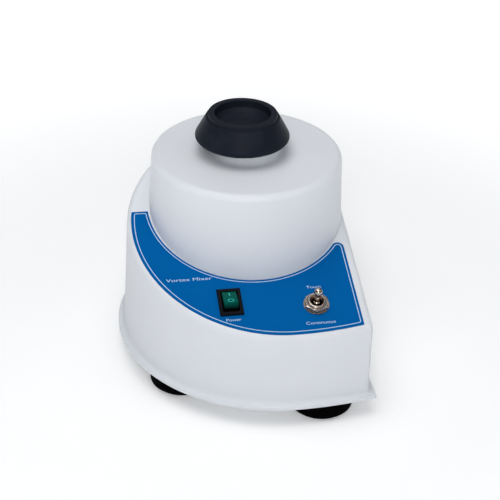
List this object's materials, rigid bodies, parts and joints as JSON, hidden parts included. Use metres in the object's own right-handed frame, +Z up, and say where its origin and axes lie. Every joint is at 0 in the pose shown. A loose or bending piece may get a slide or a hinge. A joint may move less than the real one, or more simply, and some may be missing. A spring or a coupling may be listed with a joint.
{
  "type": "vortex mixer",
  "caption": "Bench vortex mixer: round drum on a sloped comma-shaped base, orbiting rubber cup, lit power rocker, mode toggle, rubber feet, sprung motor inside",
  "frame": {"origin": "middle of the base flange's box, on the surface that the feet stand on", "axes": "+Z up; the controls face -Y; +X is the flat right side"},
  "size_m": [0.159, 0.211, 0.1652],
  "materials": {
    "housing_white": "satin moulded ABS, fine grain",
    "panel_blue": "printed polycarbonate sheet, satin",
    "rubber_black": "moulded black rubber, matte",
    "foot_rubber": "soft black rubber, matte",
    "plastic_black": "moulded black nylon",
    "rocker_green": "translucent green, polished",
    "nickel_plate": "bright nickel plate",
    "zinc_steel": "zinc plated",
    "bearing_steel": "ground and polished",
    "lamination_steel": "stacked laminations, varnished",
    "cast_aluminium": "die cast",
    "copper_winding": "enamelled copper wire",
    "nylon_natural": "moulded nylon",
    "tin_brass": "stamped, tin plated",
    "fuse_glass": "glass tube",
    "capacitor_grey": "moulded case"
  },
  "bodies": {
    "housing": {"upper_housing": "housing_white", "base_plate": "zinc_steel", "base_plate_screws": "zinc_steel", "foot_screws": "zinc_steel", "foot_nuts": "zinc_steel", "stop_nuts": "zinc_steel", "switch_bracket": "zinc_steel", "guide_posts": "zinc_steel", "return_springs": "zinc_steel", "foot_front_left": "foot_rubber", "foot_front_right": "foot_rubber", "foot_rear_left": "foot_rubber", "foot_rear_right": "foot_rubber", "control_panel_overlay": "panel_blue", "rocker_body": "plastic_black", "toggle_body": "plastic_black", "microswitch_body": "plastic_black", "mains_inlet": "plastic_black", "rocker_lamp": "fuse_glass", "rocker_terminals": "tin_brass", "toggle_terminals": "tin_brass", "switch_terminals": "tin_brass", "inlet_contacts": "tin_brass", "toggle_bushing": "nickel_plate", "toggle_washer": "nickel_plate", "toggle_nut": "nickel_plate", "run_capacitor": "capacitor_grey", "earth_stud": "tin_brass"},
    "carriage": {"carrier_plate": "zinc_steel", "motor_through_bolts": "zinc_steel", "motor_mount_nuts": "zinc_steel", "carrier_bushes": "nylon_natural", "stator_stack": "lamination_steel", "slot_windings": "copper_winding", "winding_lower": "copper_winding", "winding_upper": "copper_winding", "motor_bell_lower": "cast_aluminium", "motor_bell_upper": "cast_aluminium", "motor_bearing_outer_race": "bearing_steel", "motor_bearing_balls": "bearing_steel"},
    "rotor": {"rotor_core": "lamination_steel", "motor_shaft": "bearing_steel", "motor_bearing_inner_race": "bearing_steel", "crank_pin": "bearing_steel", "head_bearing_inner_race": "bearing_steel", "cooling_fan": "plastic_black", "eccentric_hub": "zinc_steel", "hub_set_screw": "zinc_steel", "pin_clip": "zinc_steel"},
    "head": {"head_bearing_outer_race": "bearing_steel", "head_bearing_balls": "bearing_steel", "head_carrier": "nylon_natural", "bearing_clip": "zinc_steel", "rubber_cup": "rubber_black"},
    "rocker": {"rocker_button": "rocker_green"},
    "toggle": {"toggle_lever": "nickel_plate"},
    "plunger": {"switch_plunger": "plastic_black"},
    "fuse_drawer_body": {"fuse_drawer": "plastic_black", "fuse": "fuse_glass"}
  },
  "joints": [
    {"name": "touch_press", "type": "slide", "parent": "housing", "child": "carriage", "axis": [0, 0, -1], "range_m": [0, 0.002], "stiffness_N_per_m": 3000, "springref_m": -0.012, "deforming": ["return_springs"]},
    {"name": "motor_spin", "type": "hinge", "parent": "carriage", "child": "rotor", "pos_m": [0.01, 0.015, 0.1], "axis": [0, 0, 1], "continuous": true},
    {"name": "cup_orbit", "type": "hinge", "parent": "rotor", "child": "head", "pos_m": [0.00675, 0.015, 0.142], "axis": [0, 0, 1], "continuous": true},
    {"name": "rocker_tilt", "type": "hinge", "parent": "housing", "child": "rocker", "pos_m": [-0.0121, -0.06789, 0.07302], "axis": [1, 0, 0], "range_deg": [0, 40]},
    {"name": "toggle_tilt", "type": "hinge", "parent": "housing", "child": "toggle", "pos_m": [0.0421, -0.07376, 0.07013], "axis": [0.9511, -0.2976, -0.0831], "range_deg": [0, 25]},
    {"name": "plunger_press", "type": "slide", "parent": "housing", "child": "plunger", "axis": [0, 0, -1], "range_m": [0, 0.002]},
    {"name": "fuse_drawer_slide", "type": "slide", "parent": "housing", "child": "fuse_drawer_body", "axis": [0, 1, 0], "range_m": [0, 0.016]}
  ],
  "couplings": [
    {"joint": "cup_orbit", "follows": "motor_spin", "ratio": -1},
    {"joint": "plunger_press", "follows": "touch_press", "ratio": 1}
  ]
}
